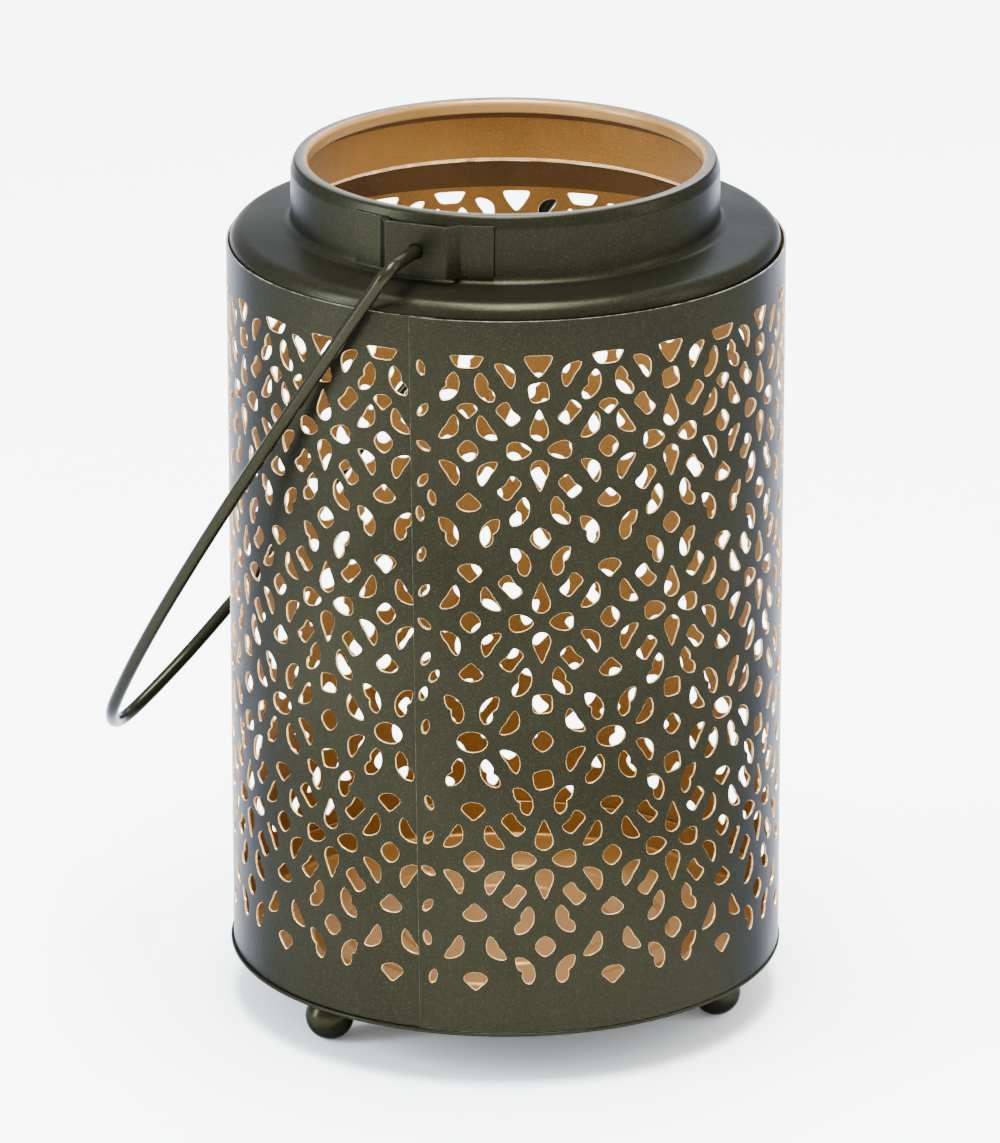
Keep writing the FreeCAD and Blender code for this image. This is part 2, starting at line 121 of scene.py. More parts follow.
def rounded_corner(before, corner, after, radius, steps=6):
    """Points of the arc, tangent to both sides, that replaces an outline's corner."""
    here = np.array(corner, float)
    back = np.array(before, float) - here
    ahead = np.array(after, float) - here
    back /= np.linalg.norm(back)
    ahead /= np.linalg.norm(ahead)
    half = math.acos(np.clip(back @ ahead, -1.0, 1.0)) / 2.0
    bisector = (back + ahead) / np.linalg.norm(back + ahead)
    centre = here + bisector * radius / math.sin(half)
    start = here + back * radius / math.tan(half) - centre
    end = here + ahead * radius / math.tan(half) - centre
    sweep = math.pi - 2.0 * half
    points = []
    for k in range(steps + 1):
        a = sweep * k / steps
        points.append(centre + (start * math.sin(sweep - a) + end * math.sin(a)) / math.sin(sweep))
    return points


def lathe(name, corners, zones, materials, segments=256, centre=(0.0, 0.0)):
    """Closed outline (radius, z, corner radius) turned about an upright line, on the lantern.

    The outline runs up the outside and down the inside. zones give each side's material slot.
    """
    outline = []
    side_slots = []
    count = len(corners)
    for i, (r, z, rounding) in enumerate(corners):
        ring = [np.array((r, z), float)]
        if rounding > 0:
            before, after = corners[i - 1], corners[(i + 1) % count]
            ring = rounded_corner(before[:2], (r, z), after[:2], rounding)
        outline += ring
        side_slots += [zones[i - 1]] * (len(ring) // 2) + [zones[i]] * (len(ring) - len(ring) // 2)
    vertices = []
    rings = []
    for r, z in outline:
        first = len(vertices)
        if r < 1e-6:
            vertices.append((centre[0], centre[1], z))
            rings.append([first] * segments)
            continue
        for k in range(segments):
            a = 2.0 * math.pi * k / segments
            vertices.append((centre[0] + r * math.sin(a), centre[1] - r * math.cos(a), z))
        rings.append(list(range(first, first + segments)))
    faces = []
    face_slots = []
    for lower, upper, face_slot in zip(rings, rings[1:] + rings[:1], side_slots):
        for k in range(segments):
            ahead = (k + 1) % segments
            face = tuple(dict.fromkeys((lower[k], lower[ahead], upper[ahead], upper[k])))
            if len(face) > 2:
                faces.append(face)
                face_slots.append(face_slot)
    piece = add_object(name, vertices, faces, "lantern", materials, face_slots)
    piece.data.set_sharp_from_angle(angle=math.radians(50))
    return piece


def swept_tube(name, path, radii, body, materials, sides):
    """A round wire along a path in 3-D, with closed ends and one radius per point."""
    path = [Vector(p) for p in path]
    tangents = []
    for i in range(len(path)):
        tangents.append((path[min(i + 1, len(path) - 1)] - path[max(i - 1, 0)]).normalized())
    side = tangents[0].orthogonal().normalized()
    vertices = []
    for point, tangent, r in zip(path, tangents, radii):
        side = (side - tangent * side.dot(tangent)).normalized()
        across = tangent.cross(side)
        for k in range(sides):
            a = 2.0 * math.pi * k / sides
            vertices.append(tuple(point + (side * math.cos(a) + across * math.sin(a)) * r))
    faces = []
    for i in range(len(path) - 1):
        for k in range(sides):
            ahead = (k + 1) % sides
            faces.append((i * sides + k, i * sides + ahead, (i + 1) * sides + ahead, (i + 1) * sides + k))
    faces.append(tuple(reversed(range(sides))))
    faces.append(tuple((len(path) - 1) * sides + k for k in range(sides)))
    piece = add_object(name, vertices, faces, body, materials)
    piece.data.set_sharp_from_angle(angle=math.radians(50))
    return piece


# ------------------------------------------------------------------ materials
class Nodes:
    """Short calls for wiring one material."""

    def __init__(self, name):
        self.material = bpy.data.materials.new(name)
        self.material.use_nodes = True
        self.tree = self.material.node_tree
        self.shader = self.tree.nodes["Principled BSDF"]
        coordinates = self.tree.nodes.new("ShaderNodeTexCoord")
        self.place = coordinates.outputs["Object"]

    def noise(self, scale, detail=4.0, roughness=0.5):
        node = self.tree.nodes.new("ShaderNodeTexNoise")
        node.inputs["Scale"].default_value = scale
        node.inputs["Detail"].default_value = detail
        node.inputs["Roughness"].default_value = roughness
        self.tree.links.new(self.place, node.inputs["Vector"])
        return node.outputs["Fac"]

    def ramp(self, source, *stops):
        node = self.tree.nodes.new("ShaderNodeValToRGB")
        elements = node.color_ramp.elements
        while len(elements) < len(stops):
            elements.new(0.5)
        for element, (position, colour) in zip(elements, stops):
            element.position = position
            element.color = (*colour, 1.0)
        self.tree.links.new(source, node.inputs["Fac"])
        return node.outputs["Color"]

    def mix(self, factor, a, b):
        node = self.tree.nodes.new("ShaderNodeMix")
        node.data_type = "RGBA"
        for socket, value in (("Factor", factor), ("A", a), ("B", b)):
            self.put(node.inputs[socket], value)
        return node.outputs["Result"]

    def span(self, source, low, high):
        """Map 0..1 to low..high."""
        node = self.tree.nodes.new("ShaderNodeMapRange")
        node.inputs["To Min"].default_value = low
        node.inputs["To Max"].default_value = high
        self.tree.links.new(source, node.inputs["Value"])
        return node.outputs["Result"]

    def math(self, operation, a, b):
        node = self.tree.nodes.new("ShaderNodeMath")
        node.operation = operation
        self.put(node.inputs[0], a)
        self.put(node.inputs[1], b)
        return node.outputs["Value"]

    def radius(self):
        """Distance from the upright axis, in metres."""
        separate = self.tree.nodes.new("ShaderNodeSeparateXYZ")
        self.tree.links.new(self.place, separate.inputs["Vector"])
        squares = [self.math("POWER", separate.outputs[axis], 2.0) for axis in ("X", "Y")]
        return self.math("POWER", self.math("ADD", *squares), 0.5)

    def bump(self, height, strength, distance, under=None):
        node = self.tree.nodes.new("ShaderNodeBump")
        node.inputs["Strength"].default_value = strength
        node.inputs["Distance"].default_value = distance
        self.tree.links.new(height, node.inputs["Height"])
        if under is not None:
            self.tree.links.new(under, node.inputs["Normal"])
        return node.outputs["Normal"]

    def put(self, socket, value):
        if isinstance(value, bpy.types.NodeSocket):
            self.tree.links.new(value, socket)
        elif isinstance(value, tuple) and socket.type == "RGBA":
            socket.default_value = (*value[:3], 1.0)
        else:
            socket.default_value = value

    def set(self, **values):
        for name, value in values.items():
            self.put(self.shader.inputs[name.replace("_", " ")], value)
        return self.material


def olive_paint(name, depth, roughness):
    """Satin olive-bronze paint with a fine speckle, a faint orange peel and soft dents."""
    n = Nodes(name)
    dark = tuple(depth * part for part in (0.0125, 0.0125, 0.0066))
    light = tuple(depth * part for part in (0.0190, 0.0188, 0.0108))
    clouds = n.ramp(n.noise(24.0, 3.0), (0.3, dark), (0.7, light))
    speckle = n.ramp(n.noise(4200.0, 2.0), (0.55, (0.0, 0.0, 0.0)), (0.80, (1.0, 1.0, 1.0)))
    colour = n.mix(speckle, clouds, (0.028, 0.026, 0.017))
    dents = n.bump(n.noise(38.0, 1.0), 0.35, 0.002)
    peel = n.bump(n.noise(700.0, 2.0), 0.12, 0.0002, dents)
    grain = n.bump(n.noise(5200.0, 2.0), 0.16, 0.00006, peel)
    satin = n.span(n.noise(120.0), roughness - 0.05, roughness + 0.05)
    return n.set(Base_Color=colour, Metallic=0.7, Specular_IOR_Level=0.03, Specular_Tint=(0.45, 0.46, 0.50),
                 Roughness=satin, Normal=grain)


def worn_and_highlight_edge():
    """Paint rubbed thin along the sheet's own edges, its lighter patches a painted highlight along those
    edges.
    """
    n = Nodes("worn_and_highlight_edge")
    colour = n.ramp(n.noise(500.0, 4.0, 0.6), (0.42, (0.012, 0.012, 0.007)), (0.72, (0.14, 0.13, 0.10)))
    grain = n.bump(n.noise(1800.0, 2.0), 0.2, 0.00006)
    return n.set(Base_Color=colour, Metallic=0.5, Roughness=n.span(n.noise(300.0), 0.3, 0.45), Normal=grain)


def edge_highlight_paint():
    """Paler paint drawn thin over the strap's corners, a painted highlight along its edges."""
    n = Nodes("edge_highlight_paint")
    colour = n.ramp(n.noise(600.0, 3.0), (0.3, (0.13, 0.13, 0.11)), (0.7, (0.27, 0.27, 0.24)))
    grain = n.bump(n.noise(1800.0, 2.0), 0.2, 0.00006)
    return n.set(Base_Color=colour, Metallic=0.2, Roughness=n.span(n.noise(300.0), 0.4, 0.52), Normal=grain)


def gold_paint(name, dull, bright):
    """Satin bronze-gold paint of the inside, between a dull and a bright tone."""
    n = Nodes(name)
    clouds = n.ramp(n.noise(35.0, 4.0), (0.3, dull), (0.7, bright))
    grains = n.ramp(n.noise(3800.0, 2.0), (0.5, (0.0, 0.0, 0.0)), (0.8, (1.0, 1.0, 1.0)))
    colour = n.mix(grains, clouds, tuple(1.35 * part for part in bright))
    grain = n.bump(n.noise(4200.0, 3.0), 0.2, 0.00006)
    roughness = n.span(n.noise(90.0), 0.32, 0.44)
    return n.set(Base_Color=colour, Metallic=0.6, Specular_IOR_Level=0.12,
                 Roughness=roughness, Normal=grain)


def gold_edge_and_highlight():
    """Gold overspray on the punched edges, painted far lighter than the gold inside as a painted highlight;
    also a painted highlight line on the cap's neck.
    """
    n = Nodes("gold_edge_and_highlight")
    colour = n.ramp(n.noise(700.0, 3.0), (0.3, (0.46, 0.25, 0.075)), (0.7, (0.80, 0.56, 0.27)))
    grain = n.bump(n.noise(1800.0, 2.0), 0.2, 0.00006)
    satin = n.span(n.noise(300.0), 0.22, 0.36)
    return n.set(Base_Color=colour, Metallic=0.8, Roughness=satin, Normal=grain)


def rim_paint():
    """Gold overspray that fades, raggedly, into the olive over the rolled rim."""
    n = Nodes("rim_paint")
    across = n.math("SUBTRACT", n.radius(), OPENING_RADIUS * MM)
    share = n.math("DIVIDE", across, (RIM_RADIUS - OPENING_RADIUS) * MM)
    ragged = n.math("ADD", share, n.span(n.noise(900.0, 4.0, 0.6), -0.15, 0.15))
    fade = n.ramp(ragged, (0.10, (0.0, 0.0, 0.0)), (0.42, (1.0, 1.0, 1.0)))
    gold = n.ramp(n.noise(60.0, 3.0), (0.3, (0.15, 0.075, 0.020)), (0.7, (0.24, 0.130, 0.040)))
    colour = n.mix(fade, gold, (0.012, 0.012, 0.007))
    grain = n.bump(n.noise(4200.0, 3.0), 0.2, 0.00006)
    roughness = n.span(n.noise(120.0), 0.28, 0.38)
    return n.set(Base_Color=colour, Metallic=0.4, Specular_IOR_Level=0.15,
                 Roughness=roughness, Normal=grain)


OLIVE = olive_paint("olive_paint", 0.56, 0.32)
OLIVE_WIRE = olive_paint("olive_wire", 0.72, 0.24)
WORN_AND_HIGHLIGHT = worn_and_highlight_edge()
EDGE_HIGHLIGHT = edge_highlight_paint()
GOLD = gold_paint("gold_paint", (0.120, 0.053, 0.0105), (0.185, 0.086, 0.019))
# A darker copy of the gold paint: painted shade for the cap's inside under the rolled lip, under the
# shoulder and in the skirt.
PAINTED_SHADE_GOLD = gold_paint("painted_shade_gold", (0.036, 0.017, 0.005), (0.062, 0.030, 0.009))
GOLD_EDGE_AND_HIGHLIGHT = gold_edge_and_highlight()
RIM = rim_paint()

# ------------------------------------------------------------------ perforation outlines
# Around their own middle, x to the right and z up; the convex side of a slanted one towards -x.
BEAN = [(0.5, 3.1), (-0.9, 2.2), (-1.65, 0.1), (-1.1, -2.0), (0.3, -3.05),
        (1.15, -2.2), (1.15, -1.1), (0.7, -0.1), (1.15, 0.8), (1.05, 2.0)]
CRESCENT = [(0.7, 2.8), (-0.7, 1.9), (-1.55, 0.0), (-0.7, -1.9),
            (0.7, -2.8), (1.05, -1.5), (0.95, 0.0), (1.05, 1.5)]
DIAMOND = [(0.0, 2.1), (1.3, 1.3), (1.95, 0.0), (1.3, -1.3),
           (0.0, -2.1), (-1.3, -1.3), (-1.95, 0.0), (-1.3, 1.3)]
FAN = [(0.0, -1.9), (1.1, -1.05), (2.3, 0.3), (1.55, 1.4),
       (0.0, 1.75), (-1.55, 1.4), (-2.3, 0.3), (-1.1, -1.05)]
BAR = [(-2.9, 1.1), (0.0, 1.2), (2.9, 1.1), (2.9, 0.4),
       (1.9, -1.0), (0.0, -1.2), (-1.9, -1.0), (-2.9, 0.4)]
WEDGE = [(-2.4, 2.0), (0.0, 2.1), (2.4, 2.0), (2.5, 1.1),
         (1.3, -0.9), (0.0, -2.1), (-1.3, -0.9), (-2.5, 1.1)]
SQUARE = [(-1.6, 1.6), (0.0, 1.9), (1.6, 1.6), (1.9, 0.0),
          (1.6, -1.6), (0.0, -1.9), (-1.6, -1.6), (-1.9, 0.0)]
OVAL = [(0.0, 2.1), (2.1, 1.5), (2.95, 0.0), (2.1, -1.5),
        (0.0, -2.1), (-2.1, -1.5), (-2.95, 0.0), (-2.1, 1.5)]
DROP = [(0.0, 3.1), (0.9, 1.3), (1.7, -0.8), (1.4, -2.4),
        (0.0, -3.1), (-1.4, -2.4), (-1.7, -0.8), (-0.9, 1.3)]
PEBBLE = [(-2.3, 0.0), (-1.1, 1.3), (0.9, 1.8), (2.1, 1.2),
          (2.3, 0.0), (2.1, -1.2), (0.9, -1.8), (-1.1, -1.3)]
BLOCK = [(-2.35, 0.0), (-1.95, 1.2), (0.0, 1.0), (1.95, 1.3),
         (2.4, 0.0), (1.95, -1.4), (0.0, -1.4), (-1.95, -1.25)]

# Lean of a slanted cut-out, degrees from upright.
BEAN_LEAN = 25.0
CRESCENT_LEAN = 33.0
BLOCK_LEAN = 50.0

# Heights above the tube's lower edge. "upper" slants lean their tops to the middle of the column.
DIAMOND_COLUMN = {
    "single": [(BAR, 137.2), (DIAMOND, 119.4), (FAN, 94.9), (DIAMOND, 84.8),
               (OVAL, 60.3), (FAN, 46.1), (DIAMOND, 35.7), (FAN, 10.8)],
    "inverted": [(FAN, 109.0), (FAN, 74.5), (FAN, 25.0)],
    "small": [(FAN, 127.5)],
    "upper": [(BEAN, 132.0, 3.3), (CRESCENT, 123.8, 3.4), (CRESCENT, 89.4, 3.7), (BEAN, 53.8, 3.3),
              (CRESCENT, 40.5, 3.75), (CRESCENT, 17.4, 3.85)],
    "lower": [(CRESCENT, 115.2, 3.4), (BEAN, 103.1, 3.95), (CRESCENT, 80.6, 3.7), (BEAN, 67.0, 3.4),
              (CRESCENT, 31.6, 3.75)],
    "tilted": [],
}
STAR_COLUMN = {
    "single": [(WEDGE, 136.3), (DIAMOND, 101.8), (SQUARE, 68.1), (DIAMOND, 60.4), (DIAMOND, 17.9)],
    "inverted": [],
    "small": [],
    "upper": [(BEAN, 107.1, 3.85), (BEAN, 72.5, 3.85), (CRESCENT, 64.1, 6.15), (BEAN, 23.3, 3.95)],
    "lower": [(CRESCENT, 134.8, 6.15), (BEAN, 97.2, 3.85), (CRESCENT, 56.7, 6.15), (BEAN, 48.3, 3.95),
              (BEAN, 13.1, 3.95)],
    "tilted": [(SQUARE, 131.1), (SQUARE, 52.5)],
}
STARS = [119.5, 84.7, 36.0]
SMALL = 0.82
TILT = 10.0
DROP_OFFSET = 5.06
PEBBLE_OFFSET = 3.9
BLOCK_OFFSET = (5.85, 7.4)
FIRST_PERIOD, LAST_PERIOD = -1, 12
EDGE_MARGIN = 0.5

# Spacing of the shell's mesh points: along its edges, up its ends, and inside the sheet.
EDGE_STEP = 2.0
END_STEP = 6.0
ROW_STEP = 5.0
COLUMN_STEP = 3.5
EDGE_CLEARANCE = 1.0
HOLE_CLEARANCE = 0.7

# Small openings left where cut-outs of both layers meet in the lap: distance from the seam, height, lean.
LENS = [(0.0, 1.5), (-0.6, 0.8), (-0.75, -0.3), (-0.3, -1.4), (0.35, -1.35), (0.75, -0.3), (0.6, 0.8)]
LAP_OPENINGS = [
    (2.3, 135.5, 12.0), (2.6, 127.1, -38.0), (2.6, 119.9, 58.0), (2.4, 113.0, -35.0), (4.1, 109.6, 10.0),
    (1.7, 106.2, 8.0), (1.9, 98.0, -20.0), (2.3, 90.7, -40.0), (2.2, 83.9, 50.0), (2.4, 76.8, -28.0),
    (4.0, 73.4, -35.0), (1.8, 69.6, -20.0), (2.1, 62.9, -12.0), (2.6, 47.3, 20.0), (2.4, 40.1, -30.0),
    (2.2, 33.2, 62.0), (2.0, 26.0, -35.0), (3.9, 23.4, -30.0), (1.8, 19.2, 10.0), (2.9, 11.3, -15.0),
]


def turned(outline, angle):
    """The outline turned about its middle, degrees."""
    c, s = math.cos(math.radians(angle)), math.sin(math.radians(angle))
    return [(c * x - s * z, s * x + c * z) for x, z in outline]


def shifted(outline, x, z):
    """The outline moved sideways and up."""
    return [(a + x, b + z) for a, b in outline]


def flipped(outline):
    """The outline's mirror image, left for right."""
    return [(-x, z) for x, z in reversed(outline)]


def pair(outline, lean, across, height):
    """A slanted cut-out to the right of the column and its mirror image to the left."""
    right = shifted(turned(outline, lean), across, 0.0)
    return [shifted(right, 0.0, height), shifted(flipped(right), 0.0, height)]


def column(rows):
    """All the outlines of one column, x from the column's middle and z above the tube's edge."""
    outlines = []
    for outline, height in rows["single"]:
        outlines.append(shifted(outline, 0.0, height))
    for outline, height in rows["inverted"]:
        outlines.append(shifted(turned(outline, 180.0), 0.0, height))
    for outline, height in rows["small"]:
        outlines.append(shifted([(SMALL * x, SMALL * z) for x, z in outline], 0.0, height))
    for outline, height in rows["tilted"]:
        outlines.append(shifted(turned(outline, TILT), 0.0, height))
    for rank, sign in (("upper", 1.0), ("lower", -1.0)):
        for outline, height, across in rows[rank]:
            lean = BEAN_LEAN if outline is BEAN else CRESCENT_LEAN
            outlines += pair(outline, sign * lean, across, height)
    return outlines


def star(height):
    """Two drops, two pebbles and four blocks round an uncut middle."""
    outlines = [
        shifted(DROP, 0.0, height + DROP_OFFSET),
        shifted(turned(DROP, 180.0), 0.0, height - DROP_OFFSET),
    ]
    outlines += pair(PEBBLE, 0.0, PEBBLE_OFFSET, height)
    across, up = BLOCK_OFFSET
    outlines += pair(BLOCK, BLOCK_LEAN, across, height + up)
    outlines += pair(BLOCK, -BLOCK_LEAN, across, height - up)
    return outlines


def smooth_loop(outline, steps=3):
    """Closed Catmull-Rom curve through an outline's points."""
    p = np.array(outline, float)
    before, after, beyond = np.roll(p, 1, 0), np.roll(p, -1, 0), np.roll(p, -2, 0)
    samples = []
    for k in range(steps):
        t = k / steps
        samples.append(0.5 * (2 * p + (after - before) * t
                              + (2 * before - 5 * p + 4 * after - beyond) * t ** 2
                              + (3 * p - before - 3 * after + beyond) * t ** 3))
    return np.stack(samples, 1).reshape(-1, 2)


def outward(loop):
    """Unit normals of a closed loop, away from its inside."""
    edge = np.roll(loop, -1, 0) - np.roll(loop, 1, 0)
    normal = np.stack([edge[:, 1], -edge[:, 0]], 1)
    normal /= np.linalg.norm(normal, axis=1)[:, None]
    following = np.roll(loop, -1, 0)
    area = 0.5 * np.sum(loop[:, 0] * following[:, 1] - following[:, 0] * loop[:, 1])
    return normal if area > 0 else -normal


def sheet_loops():
    """Smooth hole loops on the unrolled sheet: arc length from the seam, height above the edge."""
    star_column = column(STAR_COLUMN)
    for height in STARS:
        star_column += star(height)
    diamond_column = column(DIAMOND_COLUMN)
    turn = 2.0 * math.pi * TUBE_RADIUS
    loops = []
    for period in range(FIRST_PERIOD, LAST_PERIOD + 1):
        for outlines, offset in ((star_column, 0.0), (diamond_column, -0.5)):
            azimuth = PATTERN_AZIMUTH + (period + offset) * PATTERN_PITCH - SEAM_AZIMUTH
            middle = math.radians(azimuth) * TUBE_RADIUS
            for outline in outlines:
                loop = smooth_loop(shifted(outline, middle, 0.0))
                first, last = loop[:, 0].min(), loop[:, 0].max()
                clear_of_ends = first > EDGE_MARGIN and last < turn + LAP_LENGTH - EDGE_MARGIN
                if clear_of_ends and LAP_LENGTH < loop[:, 0].mean() < turn:
                    loops.append(loop)
    for across, height, lean in LAP_OPENINGS:
        opening = smooth_loop(shifted(turned(LENS, lean), across, height))
        beneath = opening + (turn, 0.0)
        if not any(boxes_meet(layer, loop) for layer in (opening, beneath) for loop in loops):
            loops += [opening, beneath]
    return loops


def boxes_meet(loop, other, gap=0.3):
    """Whether two loops' boxes come closer than the gap."""
    return bool(np.all(loop.min(0) - gap < other.max(0)) and np.all(other.min(0) - gap < loop.max(0)))


def inside_loop(points, loop):
    """Which points lie inside a closed loop."""
    x, y = points[:, 0][:, None], points[:, 1][:, None]
    ax, ay = loop[:, 0], loop[:, 1]
    bx, by = np.roll(ax, -1), np.roll(ay, -1)
    crossing = (ay > y) != (by > y)
    reach = ax + (y - ay) * (bx - ax) / np.where(by == ay, 1e-12, by - ay)
    return (np.sum(crossing & (x < reach), axis=1) % 2) == 1


def perforated_shell():
    """The rolled sheet as one mesh: outside, inside, softly broken hole edges and sheet edges."""
    length = math.radians(ROLL_ANGLE) * TUBE_RADIUS
    across = int(length / EDGE_STEP)
    upward = int(TUBE_HEIGHT / END_STEP)
    border = [(length * i / across, 0.0) for i in range(across)]
    border += [(length, TUBE_HEIGHT * i / upward) for i in range(upward)]
    border += [(length * (1 - i / across), TUBE_HEIGHT) for i in range(across)]
    border += [(0.0, TUBE_HEIGHT * (1 - i / upward)) for i in range(upward)]
    border = np.array(border)
    loops = sheet_loops()

    rings = [border] + loops
    normals_2d = [-outward(border)] + [outward(loop) for loop in loops]
    inset = [ring + normal * BURR for ring, normal in zip(rings, normals_2d)]

    starts = np.cumsum([0] + [len(ring) for ring in rings])
    flat = np.concatenate(inset)
    edges = []
    for start, ring in zip(starts, rings):
        n = len(ring)
        edges += [(int(start + k), int(start + (k + 1) % n)) for k in range(n)]
    grid = []
    rows = int(TUBE_HEIGHT / ROW_STEP)
    columns = int(length / COLUMN_STEP)
    for i in range(1, rows):
        for j in range(1, columns):
            grid.append((length * (j + 0.5 * (i % 2)) / columns, TUBE_HEIGHT * i / rows))
    grid = np.array(grid)
    grid = grid[(grid[:, 0] > EDGE_CLEARANCE) & (grid[:, 0] < length - EDGE_CLEARANCE)]
    keep = np.ones(len(grid), bool)
    for loop in loops:
        low, high = loop.min(0) - HOLE_CLEARANCE, loop.max(0) + HOLE_CLEARANCE
        near = np.all((grid > low) & (grid < high), axis=1)
        keep &= ~near
    points = np.concatenate([flat, grid[keep]])
    out = delaunay_2d_cdt([Vector(p) for p in points], edges, [], 1, 1e-5)
    new_points, triangles, originals = out[0], out[2], out[3]
    new_points = np.array([tuple(p) for p in new_points])
    triangles = np.array([t for t in triangles if len(t) == 3])

    source = np.array([o[0] if o else -1 for o in originals])
    ring_of = np.full(len(new_points), -1)
    for r in range(len(rings)):
        ring_of[(source >= starts[r]) & (source < starts[r + 1])] = r
    corner_rings = ring_of[triangles]
    same = (corner_rings[:, 0] > 0) & np.all(corner_rings == corner_rings[:, :1], axis=1)
    middles = new_points[triangles].mean(1)
    drop = np.zeros(len(triangles), bool)
    candidates = np.nonzero(same)[0]
    for r in np.unique(corner_rings[candidates, 0]):
        mine = candidates[corner_rings[candidates, 0] == r]
        drop[mine] = inside_loop(middles[mine], inset[r])
    triangles = triangles[~drop]
    a, b, c = (new_points[triangles[:, k]] for k in range(3))
    area = (b[:, 0] - a[:, 0]) * (c[:, 1] - a[:, 1]) - (c[:, 0] - a[:, 0]) * (b[:, 1] - a[:, 1])
    triangles[area < 0] = triangles[area < 0][:, ::-1]

    climb = (SHEET + LAP_GAP) / (2 * math.pi)
    begin = math.radians(SEAM_AZIMUTH)

    def roll(points_2d, depth, in_plane=None):
        """Sheet points at a depth below the outside, and their normals."""
        turn = points_2d[:, 0] / TUBE_RADIUS
        angle = begin + turn + PATTERN_LEAN * (STARS[0] - points_2d[:, 1]) / TUBE_RADIUS
        r = TUBE_RADIUS - depth - climb * turn
        place = np.stack([r * np.sin(angle), -r * np.cos(angle), TUBE_BASE + points_2d[:, 1]], 1)
        radial = np.stack([np.sin(angle), -np.cos(angle), np.zeros(len(r))], 1)
        if in_plane is None:
            return place, radial
        tangent = np.stack([np.cos(angle), np.sin(angle), np.zeros(len(r))], 1)
        wall = -tangent * in_plane[:, :1]
        wall[:, 2] -= in_plane[:, 1]
        return place, wall

    ring_points = np.concatenate(rings)
    ring_normals = np.concatenate(normals_2d)
    outside, outside_normal = roll(new_points, 0.0)
    inside, inside_normal = roll(new_points, SHEET)
    wall_out, wall_out_normal = roll(ring_points, BURR, ring_normals)
    wall_in, wall_in_normal = roll(ring_points, SHEET - BURR, ring_normals)
    vertices = np.concatenate([outside, inside, wall_out, wall_in])
    normals = np.concatenate([outside_normal, -inside_normal, wall_out_normal, wall_in_normal])

    found = np.full(len(ring_points), -1)
    for new_index, old in enumerate(originals):
        for index in old:
            if index < len(ring_points):
                found[index] = new_index
    base_in = len(new_points)
    base_wall_out = 2 * len(new_points)
    base_wall_in = base_wall_out + len(ring_points)
    faces = [tuple(map(int, t)) for t in triangles]
    slots = [0] * len(faces)
    faces += [tuple(int(v) + base_in for v in reversed(t)) for t in triangles]
    slots += [2] * len(triangles)
    for ring_number, (start, ring) in enumerate(zip(starts, rings)):
        n = len(ring)
        following = ring[(np.arange(n) + 1) % n]
        turning = np.sum(ring[:, 0] * following[:, 1] - following[:, 0] * ring[:, 1])
        material_inside_left = (turning > 0) == (ring_number == 0)
        for k in range(n):
            i, j = int(start + k), int(start + (k + 1) % n)
            if not material_inside_left:
                i, j = j, i
            top_i, top_j = int(found[i]), int(found[j])
            faces.append((top_j, top_i, base_wall_out + i, base_wall_out + j))
            faces.append((base_wall_out + j, base_wall_out + i, base_wall_in + i, base_wall_in + j))
            faces.append((base_wall_in + j, base_wall_in + i, base_in + top_i, base_in + top_j))
            # Hole walls take the light gold edge paint, partly a painted highlight; the sheet's own edges
            # take the worn paint, whose lighter patches are a painted highlight.
            slots += [1, 1, 1] if ring_number else [3, 3, 2]
    piece = add_object("punched_shell", vertices, faces, "lantern",
                       [OLIVE, GOLD_EDGE_AND_HIGHLIGHT, GOLD, WORN_AND_HIGHLIGHT], slots, normals)
    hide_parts("perforated_shell")
    return piece


# ------------------------------------------------------------------ cap, pan, feet
def top_cap():
    """Spun cap: skirt inside the tube, rolled shoulder, neck and a rolled rim; gold within, with painted
    shade under the lip, under the shoulder and in the skirt, and a painted highlight line at the neck's
    lower inner edge.
    """
    shoulder_edge = CAP_TOP - 14.0
    shoulder_neck = CAP_TOP - 13.2
    neck_inside = NECK_RADIUS - CAP_WALL
    profile = [
        (SKIRT_RADIUS, CAP_BOTTOM, 0.0),
        (SKIRT_RADIUS, shoulder_edge, 3.0),
        (NECK_RADIUS, shoulder_neck, 1.9),
        (NECK_RADIUS, CAP_TOP - 2.3, 2.0),
        (RIM_RADIUS, CAP_TOP, 1.1),
        (OPENING_RADIUS, CAP_TOP, 1.1),
        (OPENING_RADIUS, CAP_TOP - 2.8, 0.4),
        (neck_inside, CAP_TOP - 2.8, 0.3),
        (neck_inside, CAP_TOP - 4.5, 0.0),
        (neck_inside, shoulder_neck + 0.4, 0.0),
        (neck_inside, shoulder_neck - 0.1, 0.1),
        (neck_inside + 0.7, shoulder_neck - CAP_WALL, 0.1),
        (SKIRT_RADIUS - CAP_WALL, shoulder_edge - CAP_WALL, 2.5),
        (SKIRT_RADIUS - CAP_WALL, CAP_BOTTOM, 0.0),
    ]
    # Zone 4 is painted shade under the rolled lip, below it on the neck, under the shoulder and in the
    # skirt; zone 3 is a painted highlight line at the neck's lower inner edge.
    zones = [0, 0, 0, 0, 1, 1, 4, 4, 2, 3, 3, 4, 4, 0]
    piece = lathe("spun_cap", profile, zones, [OLIVE, RIM, GOLD, GOLD_EDGE_AND_HIGHLIGHT, PAINTED_SHADE_GOLD])
    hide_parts("top_cap")
    return piece


